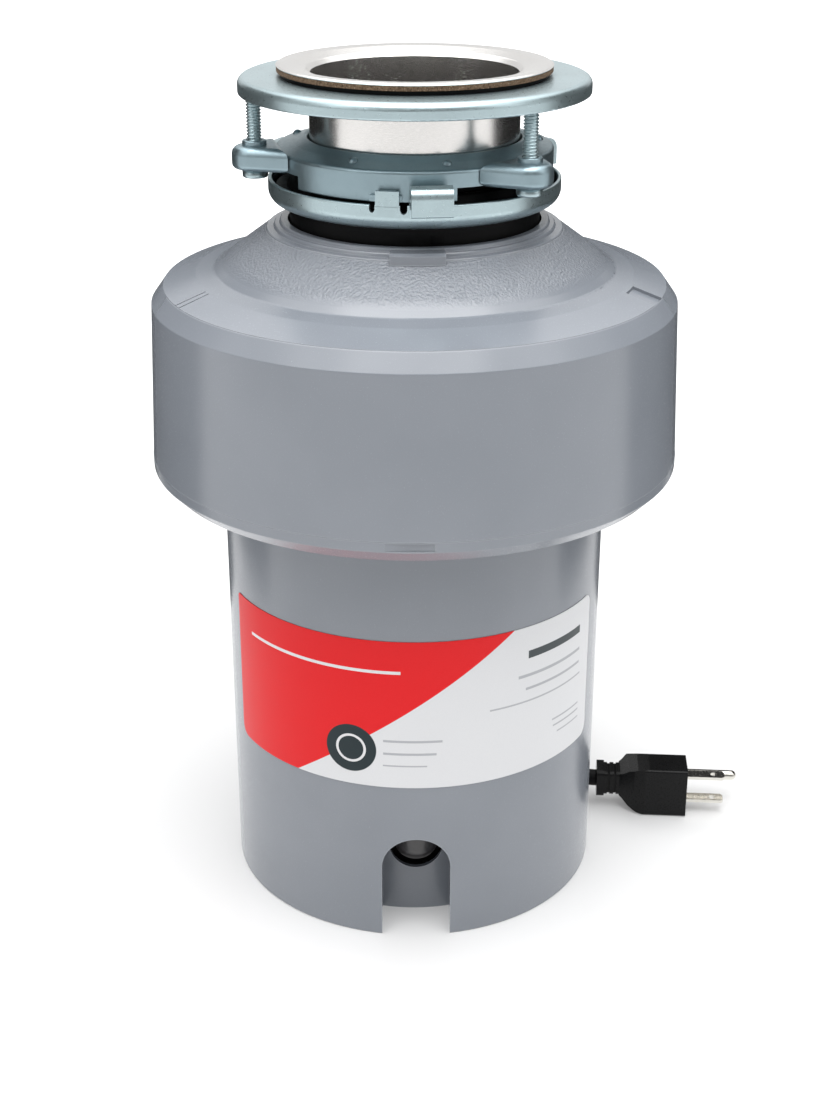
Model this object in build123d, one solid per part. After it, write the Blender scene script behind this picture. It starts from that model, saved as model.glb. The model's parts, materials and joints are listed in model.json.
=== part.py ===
from build123d import *
import math
import os

# Kitchen garbage disposal with a three-screw quick-lock sink mount.
# Millimetres, +Z up. The origin is on the motor axis, on the floor the lower
# housing stands on. The front, with the arched alcove, faces -Y.

# ---------------------------------------------------------------- dimensions
# Lower housing
BASE_R = 82.4                  # outside radius at the floor
WAIST_R = 82.6                 # outside radius inside the waist ring
HOUSING_TOP_Z = 196.0

# Waist ring: closes the wide band from below, chamfered round its lip
WAIST_BORE_R = 82.8
WAIST_Z = 190.05               # underside
WAIST_FOOT_R = 106.6           # foot of the chamfer
LIP_LOW_Z = 195.75             # top of the chamfer
LIP_R = 112.3
LIP_TOP_Z = 199.85
WALL = 2.5                     # moulded wall thickness

# Label on the lower housing
LABEL_LOW_Z = 74.9
LABEL_HIGH_Z = 143.2
LABEL_HALF_ANGLE = 66.0
LABEL_THICK = 0.25

# Alcove in the front of the lower housing, with the reset button inside
ALCOVE_X = 0.8
ALCOVE_HALF_WIDTH = 14.75
ALCOVE_SPRING_Z = 34.4
ALCOVE_WALL = 2.0
ALCOVE_BACK_R = 61.5
BUTTON_HOLE_R = 11.9
BUTTON_Z = 33.3

# Upper casing outline: collar seat, cone foot, shoulder, slope, chamfer, wall
COLLAR_SEAT_R = 61.35
TAB_R = 63.1                   # front of the collar's tab
CONE_TOP_Z = 294.75
CONE_FOOT = (83.4, 278.5)
SHOULDER = (90.9, 277.2)
SLOPE_FOOT = (104.4, 272.8)
CHAMFER_FOOT = (109.8, 265.5)
BAND_FOOT = (112.4, 199.95)
BAND_HALF_ANGLE = 72.6         # the front band reaches this far each side
REAR_INSET = 0.15              # the rear wall stands this much further in
SEAM_ANGLE = 0.55              # open seam between band and rear wall, degrees

# Sink mount
RIM_R = 55.5
RIM_TOP_Z = 360.5
THROAT_R = 41.9
SLEEVE_R = 42.7
SLEEVE_BOTTOM_Z = 318.95
BACKUP_R = 71.0
BACKUP_TOP_Z = 355.9
BACKUP_BOTTOM_Z = 349.3
BACKUP_SHEET = 2.2
RING_WALL_R = 56.4
RING_WALL_BOTTOM_Z = 316.3
EAR_ANGLES = (-77.5, 42.0, 162.0)
SCREW_CIRCLE_R = 65.4
SCREW_R = 3.17
EAR_ROOT = 16.0                # half the ear's width where it joins the ring
EAR_BOSS_R = 9.2
EAR_BOTTOM_Z = 321.2
EAR_TOP_Z = 330.4
LOCK_R = 59.9                  # outside of the turning lock ring
LOCK_BOTTOM_Z = 306.0
LOCK_TOP_Z = 315.9
LOCK_SHEET = 1.7
TUBE_ANGLE = 5.5               # first rolled wrench tube; the others at 120 degrees
TUBE_R = 4.45
TUBE_BORE_R = 2.7
TUBE_LENGTH = 15.9
CUSHION_R = 51.4

# Grinding section
CHAMBER_R = 68.3               # inside radius of the grind chamber
NECK_R = 45.5
GRIND_RING_IN_R = 62.3
TURNTABLE_R = 61.5
TURNTABLE_Z = 200.0
TURNTABLE_THICK = 3.2
IMPELLER_PIVOT_R = 40.0
OUTLET_Z = 160.0
OUTLET_R = 24.0
OUTLET_BORE_R = 19.5
OUTLET_END_Y = 110.0
OUTLET_FLANGE_R = 32.0
OUTLET_FLAT_Z = 188.6          # flat on top of the flange, under the waist ring
OUTLET_SCREW_SPACING = 51.0
INLET_Z = 291.5
INLET_R = 11.0                 # hose nipple
INLET_ROOT_R = 11.6            # thicker root, up to the shoulder of the casing
INLET_ROOT_Y = 85.0
INLET_BORE_R = 8.5
INLET_END_Y = 109.0

# Motor
SHAFT_BOTTOM_Z = 16.0
JOURNAL_R = 8.0
SHAFT_R = 9.0
SHAFT_TOP_R = 7.0
RUNNING_GAP = 0.05             # radial clearance of the shaft in its bearings
STATOR_R = 70.0
STATOR_BORE_R = 32.0
STATOR_BOTTOM_Z = 66.0
STATOR_TOP_Z = 118.0
SLOTS = 18
BOLT_CIRCLE_R = 75.1
BOLT_ANGLES = (45, 135, 225, 315)
BOLT_EAR_R = 4.4
HEX_SOCKET = 6.4               # across the flats, takes the jam wrench
COVER_SCREW_CIRCLE_R = 50.0
COVER_SCREW_ANGLES = (60, 180, 300)
GROUND_SCREW = (54.0, 155.0)   # circle radius, angle

# Supply cord: 3 ft lead, 8 mm over the jacket
CORD_R = 4.0
GLAND_Z = 24.0
GLAND_END_Y = 112.0
COIL_X = 30.0
COIL_Y = 176.0
COIL_TURN_R = 43.0             # middle of the stacked turns
COIL_OUTER_TURN_R = 51.2       # middle of the last half turn, beside them
PLUG_X = 90.0
PLUG_Y = 30.0
PLUG_Z = 12.6
PLUG_TURN = -4.0               # the plug's nose points this far towards the front


# ------------------------------------------------------------------- helpers
def section(points, rounds=None):
    """Closed outline in (radius, height), with chosen corners rounded."""
    face = make_face(Polyline(*points, close=True))
    for corner, radius in (rounds or {}).items():
        near = min(face.vertices(), key=lambda v: math.dist((v.X, v.Y), corner))
        face = fillet(near, radius)
    return face


def turned(points, rounds=None, start=0.0, arc=360.0):
    """Outline turned about the motor axis. start and arc run from +X towards +Y."""
    solid = revolve(Plane.XZ * section(points, rounds), Axis.Z, arc)
    return Rot(0, 0, start) * solid


def ring(inner, outer, low, high):
    return turned([(inner, low), (outer, low), (outer, high), (inner, high)])


def rod(radius, low, high, x=0.0, y=0.0):
    """Upright cylinder."""
    middle = (low + high) / 2
    return Pos(x, y, middle) * Cylinder(radius, high - low)


def rod_y(radius, near, far, z, x=0.0):
    """Cylinder lying along Y."""
    return Pos(x, (near + far) / 2, z) * Rot(90, 0, 0) * Cylinder(radius, far - near)


def block(low, high):
    size = [b - a for a, b in zip(low, high)]
    middle = [(a + b) / 2 for a, b in zip(low, high)]
    return Pos(*middle) * Box(*size)


def front(angle):
    """Turns a shape built on the -Y side to an angle from the front, + to the right."""
    return Rot(0, 0, angle)


def on_circle(radius, angle):
    """x, y of a point at an angle from the front, + to the right."""
    a = math.radians(angle)
    return radius * math.sin(a), -radius * math.cos(a)


def hexagon(across, low, high):
    face = RegularPolygon(across / 2, 6, major_radius=False)
    return Pos(0, 0, low) * extrude(face, high - low)


def slice_of(inner, outer, low, high, first, last):
    """Part of a ring between two angles from the front."""
    outline = [(inner, low), (outer, low), (outer, high), (inner, high)]
    return turned(outline, start=first - 90, arc=last - first)


def inlet_passage(radius, near):
    return rod_y(radius, near, INLET_END_Y + 20, INLET_Z)


# ---------------------------------------------------------------- sink mount
def make_sink_flange():
    outline = [
        (THROAT_R, SLEEVE_BOTTOM_Z),
        (SLEEVE_R, SLEEVE_BOTTOM_Z),
        (SLEEVE_R, 325.9),
        (42.35, 325.9),
        (42.35, 328.4),
        (SLEEVE_R, 328.4),
        (SLEEVE_R, 356.4),
        (44.3, 357.9),
        (50.0, 359.55),
        (RIM_R - 0.3, 359.55),
        (RIM_R, 360.0),
        (RIM_R - 0.8, RIM_TOP_Z),
        (49.8, RIM_TOP_Z - 0.1),
        (43.6, 358.6),
        (THROAT_R, 356.8),
    ]
    rounds = {(44.3, 357.9): 1.2, (43.6, 358.6): 1.6, (49.8, RIM_TOP_Z - 0.1): 6.0}
    return turned(outline, rounds)


def make_backup_flange():
    sheet = BACKUP_SHEET
    outline = [
        (43.4, BACKUP_TOP_Z),
        (BACKUP_R, BACKUP_TOP_Z),
        (BACKUP_R, BACKUP_BOTTOM_Z),
        (BACKUP_R - sheet, BACKUP_BOTTOM_Z),
        (BACKUP_R - sheet, BACKUP_TOP_Z - sheet),
        (43.4, BACKUP_TOP_Z - sheet),
    ]
    rounds = {
        (BACKUP_R, BACKUP_TOP_Z): 3.0,
        (BACKUP_R, BACKUP_BOTTOM_Z): 0.8,
        (BACKUP_R - sheet, BACKUP_TOP_Z - sheet): 0.9,
        (BACKUP_R - sheet, BACKUP_BOTTOM_Z): 0.5,
    }
    return turned(outline, rounds)


def make_ear():
    """One screw ear of the mounting ring, built on the -Y side."""
    plan = make_hull(
        Edge.make_circle(EAR_BOSS_R, Plane((0, -SCREW_CIRCLE_R, 0))).edges()
        + Polyline((-EAR_ROOT, -54.6), (EAR_ROOT, -54.6)).edges()
    )
    arm = Pos(0, 0, EAR_BOTTOM_Z) * extrude(plan, EAR_TOP_Z - EAR_BOTTOM_Z)
    rim = arm.faces().sort_by(Axis.Z)
    arm = fillet(rim[-1].edges(), 3.4)
    arm = fillet(arm.faces().sort_by(Axis.Z)[0].edges(), 2.2)
    collar = rod(4.9, EAR_TOP_Z - 1, EAR_TOP_Z + 2.0, 0, -SCREW_CIRCLE_R)
    collar = fillet(collar.faces().sort_by(Axis.Z)[-1].edges(), 0.6)
    return arm + collar


def make_mounting_ring():
    outline = [
        (43.5, 332.4),
        (49.6, 330.1),
        (RING_WALL_R, 328.1),
        (RING_WALL_R, RING_WALL_BOTTOM_Z),
        (53.4, RING_WALL_BOTTOM_Z),
        (53.4, 325.4),
        (46.4, 328.75),
        (43.5, 328.75),
    ]
    rounds = {
        (43.5, 332.4): 1.0,
        (49.6, 330.1): 4.0,
        (RING_WALL_R, 328.1): 1.6,
        (53.4, 325.4): 1.0,
        (RING_WALL_R, RING_WALL_BOTTOM_Z): 0.5,
    }
    body = turned(outline, rounds)
    inside = turned([(0, 300), (53.4, 300), (53.4, 325.4), (46.4, 328.75), (0, 328.75)])
    for angle in EAR_ANGLES:
        window = slice_of(50, 60, 310, EAR_BOTTOM_Z + 0.4, angle - 25.5, angle + 23.5)
        body -= window
    ears = [front(angle) * make_ear() for angle in EAR_ANGLES]
    for ear in ears:
        body += ear - inside
    for turn in (0, 120, 240):
        ramp = slice_of(RING_WALL_R - 0.5, 57.9, 316.9, 319.2, turn - 17.5, turn - 5.0)
        body += ramp
        for offset in (-28.0, 14.0):
            x, y = on_circle(50.2, turn + offset)
            dimple = Pos(x, y, 329.3) * Sphere(2.0)
            body += dimple - inside
    for angle in EAR_ANGLES:
        x, y = on_circle(SCREW_CIRCLE_R, angle)
        body -= rod(SCREW_R + RUNNING_GAP, 300, 340, x, y)
    return body


def make_screw(angle):
    """1/4-20 screw: slotted head under the ear, tip inside the backup flange."""
    x, y = on_circle(SCREW_CIRCLE_R, angle)
    tip_z = BACKUP_TOP_Z - BACKUP_SHEET - 0.1
    shank = rod(SCREW_R, EAR_BOTTOM_Z - 1, tip_z, x, y)
    shank = chamfer(shank.faces().sort_by(Axis.Z)[-1].edges(), 0.8)
    head = rod(5.2, EAR_BOTTOM_Z - 3.6, EAR_BOTTOM_Z - 0.1, x, y)
    head = fillet(head.faces().sort_by(Axis.Z)[0].edges(), 0.8)
    slot = Pos(x, y, EAR_BOTTOM_Z - 3.6) * Box(12, 1.5, 2.6)
    return shank + head - slot


def make_snap_ring():
    whole = ring(42.4, 45.8, 326.0, 328.3)
    gap = slice_of(40, 48, 325, 330, 178, 186)
    return whole - gap


def make_wrench_tube():
    """Strip that rises from the lock ring's lip and rolls outwards, on the -Y side."""
    centre_y = -(LOCK_R + TUBE_R)
    centre_z = 320.1
    roll = Pos(0, centre_y, centre_z) * Rot(0, 90, 0) * Cylinder(TUBE_R, TUBE_LENGTH)
    strip = block(
        (-TUBE_LENGTH / 2, -LOCK_R - 0.35, 311.7),
        (TUBE_LENGTH / 2, -LOCK_R + 1.2, centre_z),
    )
    skirt = block(
        (-TUBE_LENGTH / 2, centre_y - TUBE_R, 313.2),
        (TUBE_LENGTH / 2, centre_y - TUBE_R + 1.75, centre_z),
    )
    skirt = fillet(skirt.faces().sort_by(Axis.Z)[0].edges().filter_by(Axis.X), 0.7)
    bore = Pos(0, centre_y, centre_z) * Rot(0, 90, 0) * Cylinder(TUBE_BORE_R, TUBE_LENGTH + 2)
    return roll + strip + skirt - bore


def make_lock_tab():
    """Hook tab beside the wrench tube: rises from the lip and bends in over the ramp."""
    plate = slice_of(LOCK_R - LOCK_SHEET + 0.05, LOCK_R - 0.05, LOCK_TOP_Z - 1, 321.2, -14.7, -5.9)
    hook = slice_of(57.0, LOCK_R - 0.1, 319.6, 321.2, -13.4, -7.2)
    return plate + hook


def make_lower_mounting_ring():
    """Dished ring. Its lip is slotted at both sides of each hook tab."""
    inner = LOCK_R - LOCK_SHEET
    slot_bottom_z = 313.9
    dish = [
        (51.9, LOCK_BOTTOM_Z),
        (LOCK_R, LOCK_BOTTOM_Z),
        (LOCK_R, slot_bottom_z),
        (inner, slot_bottom_z),
        (inner, LOCK_BOTTOM_Z + LOCK_SHEET),
        (51.9, LOCK_BOTTOM_Z + LOCK_SHEET),
    ]
    rounds = {
        (LOCK_R, LOCK_BOTTOM_Z): 5.4,
        (inner, LOCK_BOTTOM_Z + LOCK_SHEET): 3.7,
        (51.9, LOCK_BOTTOM_Z): 0.6,
    }
    lip = [
        (inner + 0.02, slot_bottom_z - 0.8),
        (LOCK_R - 0.02, slot_bottom_z - 0.8),
        (LOCK_R - 0.02, LOCK_TOP_Z),
        (inner + 0.02, LOCK_TOP_Z),
    ]
    lip_rounds = {(LOCK_R, LOCK_TOP_Z): 0.6, (inner, LOCK_TOP_Z): 0.5}
    thirds = (0, 120, 240)
    body = turned(dish, rounds, start=40)
    for turn in thirds:
        body += front(turn + TUBE_ANGLE) * make_wrench_tube()
    for turn in thirds:
        for first, last in ((-14.9, -5.5), (-2.8, 103.0)):
            body += turned(lip, lip_rounds, start=turn + first - 90, arc=last - first)
    for turn in thirds:
        body += front(turn) * make_lock_tab()
        for angle, radius in ((-4.15, 1.25), (-15.95, 0.95)):
            x, y = on_circle(LOCK_R, turn + angle)
            drill = Cylinder(radius, 6.0)
            body -= Pos(x, y, slot_bottom_z) * Rot(0, 0, turn + angle) * Rot(90, 0, 0) * drill
    return body


def make_cushion_mount():
    outline = [
        (48.55, 290.0),
        (CUSHION_R, 290.0),
        (CUSHION_R, 308.3),
        (57.2, 308.3),
        (57.2, 312.6),
        (52.2, 312.6),
        (50.4, 317.7),
        (43.3, 317.7),
        (43.3, 304.3),
        (48.55, 304.3),
    ]
    rounds = {(57.2, 312.6): 1.0, (57.2, 308.3): 2.4, (50.4, 317.7): 1.0}
    body = turned(outline, rounds)
    key_slot = block((6.0, -CUSHION_R - 1, 299.0), (11.4, -CUSHION_R + 1.3, 302.2))
    return body - key_slot - inlet_passage(INLET_ROOT_R + 0.2, 40)


def make_splash_baffle():
    outline = [
        (14.0, 300.4),
        (43.1, 300.4),
        (43.1, 317.8),
        (46.5, 317.8),
        (46.5, 318.9),
        (40.8, 318.9),
        (40.8, 302.9),
        (14.0, 302.1),
    ]
    body = turned(outline)
    for turn in range(0, 360, 45):
        body -= Rot(0, 0, turn) * block((10, -0.5, 299), (37.5, 0.5, 304))
    return body


def make_neck_collar():
    outline = [
        (52.3, 293.0),
        (COLLAR_SEAT_R - 0.1, 293.0),
        (COLLAR_SEAT_R - 0.1, 295.0),
        (60.8, 295.4),
        (58.2, 295.6),
        (57.8, 296.6),
        (57.4, 297.0),
        (55.8, 297.1),
        (55.4, 298.2),
        (55.0, 298.5),
        (52.3, 298.5),
    ]
    body = turned(outline)
    # Tab in front that hangs a little way down over the top of the cone
    tab = block((-9.7, -70.0, 293.2), (11.8, -50.0, 298.1))
    tab = fillet(tab.edges().filter_by(Axis.Y), 0.6)
    seat_r = COLLAR_SEAT_R - 0.1
    cone_slope = (CONE_TOP_Z - CONE_FOOT[1]) / (CONE_FOOT[0] - COLLAR_SEAT_R)
    tab &= turned(
        [
            (52.3, 293.1),
            (seat_r, 293.1),
            (seat_r, CONE_TOP_Z + 0.2),
            (TAB_R, CONE_TOP_Z + 0.2 - cone_slope * (TAB_R - COLLAR_SEAT_R)),
            (TAB_R, 297.2),
            (TAB_R - 1.2, 298.1),
            (52.3, 298.1),
        ]
    )
    gap = block((-INLET_ROOT_R - 1, 40, 290), (INLET_ROOT_R + 1, 70, 300))
    return body + tab - gap


# -------------------------------------------------------------------- casing
def make_upper_cover():
    cap = [
        (54.0, 290.4),
        (54.0, 292.9),
        (COLLAR_SEAT_R, 292.9),
        (COLLAR_SEAT_R, CONE_TOP_Z),
        CONE_FOOT,
        SHOULDER,
        SLOPE_FOOT,
        (SLOPE_FOOT[0], 268.0),
        (SLOPE_FOOT[0] - WALL, 268.0),
        (SLOPE_FOOT[0] - WALL, 270.9),
        (90.4, 274.6),
        (82.6, 276.0),
        (62.5, 290.4),
    ]
    rounds = {CONE_FOOT: 3.0, SHOULDER: 1.5}
    body = turned(cap, rounds)
    chamfer_r = CHAMFER_FOOT[0] - REAR_INSET
    foot_r = BAND_FOOT[0] - REAR_INSET
    rear = [
        (SLOPE_FOOT[0] - 0.5, SLOPE_FOOT[1] - 0.1),
        SLOPE_FOOT,
        (chamfer_r, CHAMFER_FOOT[1]),
        (foot_r, BAND_FOOT[1]),
        (foot_r - WALL, BAND_FOOT[1]),
        (chamfer_r - WALL, CHAMFER_FOOT[1] - 0.8),
        (SLOPE_FOOT[0] - WALL, 268.0),
        (SLOPE_FOOT[0] - WALL, 271.0),
    ]
    seam = BAND_HALF_ANGLE + SEAM_ANGLE
    body += turned(rear, start=seam - 90, arc=360 - 2 * seam)
    # Latch pocket at the right end of the slope, latch slots at the left end
    pocket = slice_of(92.5, 106, 271.6, 280, 64.9, 71.8)
    lowered = turned(
        [(92.5, 275.3), (106, 271.0), (106, 280), (92.5, 280)], start=64.9 - 90, arc=6.9
    )
    body -= pocket & lowered
    for angle in (-65.4, -63.2):
        groove = turned(
            [(91.6, 276.5), (106, 271.8), (106, 280), (91.6, 280)], start=angle - 90, arc=0.5
        )
        body -= groove
    return body - inlet_passage(INLET_ROOT_R + 0.5, 40)


def make_front_band():
    outline = [
        (SLOPE_FOOT[0] + 0.15, SLOPE_FOOT[1] - 0.1),
        CHAMFER_FOOT,
        BAND_FOOT,
        (BAND_FOOT[0] - WALL, BAND_FOOT[1]),
        (CHAMFER_FOOT[0] - WALL, CHAMFER_FOOT[1] - 0.8),
        (SLOPE_FOOT[0] + 0.15, 268.6),
    ]
    rounds = {CHAMFER_FOOT: 0.8}
    return turned(outline, rounds, start=-BAND_HALF_ANGLE - 90, arc=2 * BAND_HALF_ANGLE)


def alcove_shape(half_width, top_r, low_z, near_y, far_y):
    """Arched passage lying along Y, flat sided below its spring line."""
    straight = block(
        (ALCOVE_X - half_width, far_y, low_z), (ALCOVE_X + half_width, near_y, ALCOVE_SPRING_Z)
    )
    arch = rod_y(top_r, far_y, near_y, ALCOVE_SPRING_Z, ALCOVE_X)
    return straight + arch


def make_lower_housing():
    flange_r, flange_z = WAIST_R + 3.5, WAIST_Z + WALL + 0.1
    outline = [
        (BASE_R - 0.5, 0),
        (BASE_R, 0.6),
        (WAIST_R, WAIST_Z),
        (WAIST_R, flange_z),
        (flange_r, flange_z),
        (flange_r, HOUSING_TOP_Z),
        (WAIST_R - WALL, HOUSING_TOP_Z),
        (BASE_R - WALL, 0),
    ]
    body = turned(outline)
    inside = alcove_shape(ALCOVE_HALF_WIDTH, ALCOVE_HALF_WIDTH, -5, -40, -95)
    outer_half = ALCOVE_HALF_WIDTH + ALCOVE_WALL
    walls = alcove_shape(outer_half, outer_half, 0, -40, -95)
    tunnel = walls & ring(ALCOVE_BACK_R - ALCOVE_WALL, BASE_R - 1.0, 0, 60)
    passage = inside - rod(ALCOVE_BACK_R, -10, 70)
    hole = rod_y(BUTTON_HOLE_R, -70, -50, BUTTON_Z, ALCOVE_X)
    body = body + tunnel - passage - hole
    # Window for the discharge outlet and hole for the cord gland, both at the back
    window = rod_y(OUTLET_FLANGE_R + 1.4, 60, 100, OUTLET_Z)
    body -= window & block((-40, 60, 100), (40, 100, WAIST_Z - 0.6))
    body -= rod_y(6.8, 60, 100, GLAND_Z)
    return body


def make_waist_ring():
    """Moulded ring between the housing and the wide band, with a pry notch in front."""
    inner_r = LIP_R - WALL
    outline = [
        (WAIST_BORE_R, WAIST_Z),
        (WAIST_FOOT_R, WAIST_Z),
        (LIP_R, LIP_LOW_Z),
        (BAND_FOOT[0], LIP_TOP_Z),
        (inner_r, LIP_TOP_Z),
        (inner_r, LIP_LOW_Z + 1.0),
        (WAIST_FOOT_R - 1.0, WAIST_Z + WALL),
        (WAIST_BORE_R, WAIST_Z + WALL),
    ]
    rounds = {(LIP_R, LIP_LOW_Z): 0.8, (WAIST_FOOT_R, WAIST_Z): 0.8}
    body = turned(outline, rounds)
    return body - block((-11.6, -115, LIP_LOW_Z + 0.4), (7.6, 0.7 - LIP_R, LIP_TOP_Z - 0.4))


def make_label():
    """Sticker that follows the housing's slight taper round the front."""
    slope = (WAIST_R - BASE_R) / WAIST_Z
    inner = [(BASE_R + slope * z, z) for z in (LABEL_LOW_Z, LABEL_HIGH_Z)]
    outer = [(r + LABEL_THICK, z) for r, z in reversed(inner)]
    return turned(inner + outer, start=-LABEL_HALF_ANGLE - 90, arc=2 * LABEL_HALF_ANGLE)


def make_bottom_cover():
    body = ring(10.0, 78.9, 4.6, 7.1)
    slot_half = ALCOVE_HALF_WIDTH + ALCOVE_WALL + 0.3
    slot = block(
        (ALCOVE_X - slot_half, -90, 0), (ALCOVE_X + slot_half, -ALCOVE_BACK_R + 6.5, 10)
    )
    body -= slot
    for angle in COVER_SCREW_ANGLES:
        x, y = on_circle(COVER_SCREW_CIRCLE_R, angle)
        body -= rod(2.2, 0, 10, x, y)
    for k in range(-3, 4):
        body -= block((k * 8 - 1.5, 20, 0), (k * 8 + 1.5, 40, 10))
    return body


def make_bottom_cover_screws():
    screws = []
    for angle in COVER_SCREW_ANGLES:
        x, y = on_circle(COVER_SCREW_CIRCLE_R, angle)
        head = rod(4.2, 2.3, 4.55, x, y)
        head = fillet(head.faces().sort_by(Axis.Z)[0].edges(), 0.7)
        screws.append(head + rod(2.0, 4, 20, x, y) - Pos(x, y, 2.3) * Box(6, 1, 1.8))
    return Compound(screws)


# ---------------------------------------------------------- grinding section
def make_insulation_upper():
    outline = [
        (71.4, 228.6),
        (105.6, 228.6),
        (104.2, 262.0),
        (100.0, 268.0),
        (89.5, 272.6),
        (81.6, 274.4),
        (60.5, 288.8),
        (50.6, 288.8),
        (50.6, 275.4),
        (65.2, 262.6),
        (71.4, 251.0),
    ]
    return turned(outline) - inlet_passage(INLET_ROOT_R + 0.5, 40)


def make_insulation_lower():
    outline = [
        (80.5, 196.4),
        (106.4, 196.4),
        (106.4, 228.4),
        (71.4, 228.4),
        (71.4, 209.0),
        (80.5, 209.0),
    ]
    return turned(outline)


def make_grind_container():
    outline = [
        (CHAMBER_R + 0.1, 201.0),
        (77.5, 201.0),
        (77.5, 205.0),
        (70.8, 205.0),
        (70.8, 250.5),
        (64.6, 262.0),
        (50.0, 275.0),
        (NECK_R + 3.0, 280.0),
        (NECK_R + 3.0, 304.2),
        (NECK_R, 304.2),
        (NECK_R, 279.0),
        (47.4, 273.6),
        (62.4, 260.0),
        (CHAMBER_R + 0.1, 249.5),
    ]
    body = turned(outline, {(64.6, 262.0): 6.0, (50.0, 275.0): 5.0})
    root = rod_y(INLET_ROOT_R, NECK_R + 1.0, INLET_ROOT_Y, INLET_Z)
    nipple = rod_y(INLET_R, INLET_ROOT_Y - 1.0, INLET_END_Y, INLET_Z)
    bore = rod_y(INLET_BORE_R, NECK_R - 4, INLET_END_Y + 5, INLET_Z)
    return body + (root + nipple - rod(NECK_R, 270, 310)) - bore


def make_shredder_ring():
    outline = [
        (GRIND_RING_IN_R, 197.1),
        (76.5, 197.1),
        (76.5, 199.0),
        (68.2, 199.0),
        (68.2, 223.0),
        (GRIND_RING_IN_R, 223.0),
    ]
    body = turned(outline)
    for step in range(24):
        tooth_gap = Rot(0, 0, step * 15) * block((60, -2.2, 202), (65.4, 2.2, 225))
        body -= tooth_gap
    return body


def make_container_gasket():
    return ring(CHAMBER_R + 0.2, 76.5, 199.05, 200.95)


def make_clamp_band():
    outline = [
        (74.0, 190.9),
        (79.4, 190.9),
        (79.4, 207.1),
        (74.0, 207.1),
        (74.0, 205.3),
        (77.7, 205.3),
        (77.7, 192.7),
        (74.0, 192.7),
    ]
    return turned(outline)


def make_turntable():
    top = TURNTABLE_Z + TURNTABLE_THICK
    plate = ring(SHAFT_TOP_R, TURNTABLE_R, TURNTABLE_Z, top)
    plate = fillet(plate.edges().filter_by(GeomType.CIRCLE).sort_by(Axis.Z)[-1], 0.6)
    hub = ring(SHAFT_TOP_R, 16.0, 178.0, TURNTABLE_Z + 0.1)
    body = plate + hub
    for turn in (0, 180):
        x, y = on_circle(IMPELLER_PIVOT_R, turn + 90)
        body -= rod(4.0, 190, 210, x, y)
    for step in range(12):
        x, y = on_circle(53.5, step * 30 + 15)
        body -= rod(2.6, 190, 210, x, y)
    for turn in (45, 225):
        vane = Rot(0, 0, turn) * block((15, -1.5, 190), (56, 1.5, TURNTABLE_Z + 0.1))
        body += vane
    return body


def make_impeller(angle):
    """Swivelling lug with a raised striking wall, pivoted near the plate's edge."""
    low = TURNTABLE_Z + TURNTABLE_THICK + 0.4
    plan = make_hull(
        Edge.make_circle(9.0, Plane((0, -IMPELLER_PIVOT_R, 0))).edges()
        + Edge.make_circle(5.0, Plane((0, -IMPELLER_PIVOT_R - 13.5, 0))).edges()
    )
    base = Pos(0, 0, low) * extrude(plan, 4.4)
    wall = block((-4.6, -IMPELLER_PIVOT_R - 18.2, low + 3), (4.6, -IMPELLER_PIVOT_R - 11.0, low + 13.5))
    wall = fillet(wall.edges().filter_by(Axis.Z), 2.0)
    bore = rod(4.0 + 0.08, low - 5, low + 20, 0, -IMPELLER_PIVOT_R)
    return front(angle) * (base + wall - bore)


def make_impeller_pins():
    low = TURNTABLE_Z + TURNTABLE_THICK + 0.4
    pins = []
    for angle in (90, 270):
        x, y = on_circle(IMPELLER_PIVOT_R, angle)
        shank = rod(4.0, TURNTABLE_Z - 1.5, low + 7.6, x, y)
        head = rod(6.4, low + 4.8, low + 7.6, x, y)
        head = fillet(head.faces().sort_by(Axis.Z)[-1].edges(), 1.2)
        pins.append(shank + head)
    return Compound(pins)


def make_turntable_nut():
    low = TURNTABLE_Z + TURNTABLE_THICK
    body = hexagon(16.0, low, low + 6.5) - rod(5.0, low - 1, low + 10)
    return body


def make_drain_chamber():
    outline = [
        (64.0, STATOR_TOP_Z),
        (70.9, STATOR_TOP_Z),
        (70.9, 137.0),
        (72.5, 140.5),
        (72.5, 193.0),
        (77.0, 193.0),
        (77.0, 197.0),
        (69.5, 197.0),
        (69.5, 144.0),
        (65.0, 140.4),
        (25.0, 147.0),
        (19.0, 163.0),
        (15.5, 163.0),
        (15.5, 151.5),
        (14.0, 151.5),
        (14.0, 131.0),
        (20.0, 131.0),
        (20.0, 136.0),
        (60.0, 132.0),
        (64.0, 128.0),
    ]
    body = turned(outline, {(25.0, 147.0): 6.0, (65.0, 140.4): 4.0})
    spout = rod_y(OUTLET_R, 60, OUTLET_END_Y, OUTLET_Z)
    flange = rod_y(OUTLET_FLANGE_R, OUTLET_END_Y - 6, OUTLET_END_Y, OUTLET_Z)
    flange = fillet(flange.edges().filter_by(GeomType.CIRCLE).sort_by(Axis.Y)[0], 1.0)
    spout = spout + flange - rod(69.5, 100, 210)
    spout -= block((-40, 100, OUTLET_FLAT_Z), (40, 115, 200))
    body += spout
    body -= rod_y(OUTLET_BORE_R, 50, OUTLET_END_Y + 10, OUTLET_Z)
    for side in (-1, 1):
        x = side * OUTLET_SCREW_SPACING / 2
        body -= rod_y(3.2, OUTLET_END_Y - 20, OUTLET_END_Y + 5, OUTLET_Z, x)
    for angle in BOLT_ANGLES:
        x, y = on_circle(BOLT_CIRCLE_R, angle)
        ear = rod(BOLT_EAR_R, STATOR_TOP_Z, 133.0, x, y)
        body += ear - rod(68.0, 100, 140)
        body -= rod(2.6, STATOR_TOP_Z - 5, 140.0, x, y)
    return body


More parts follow.
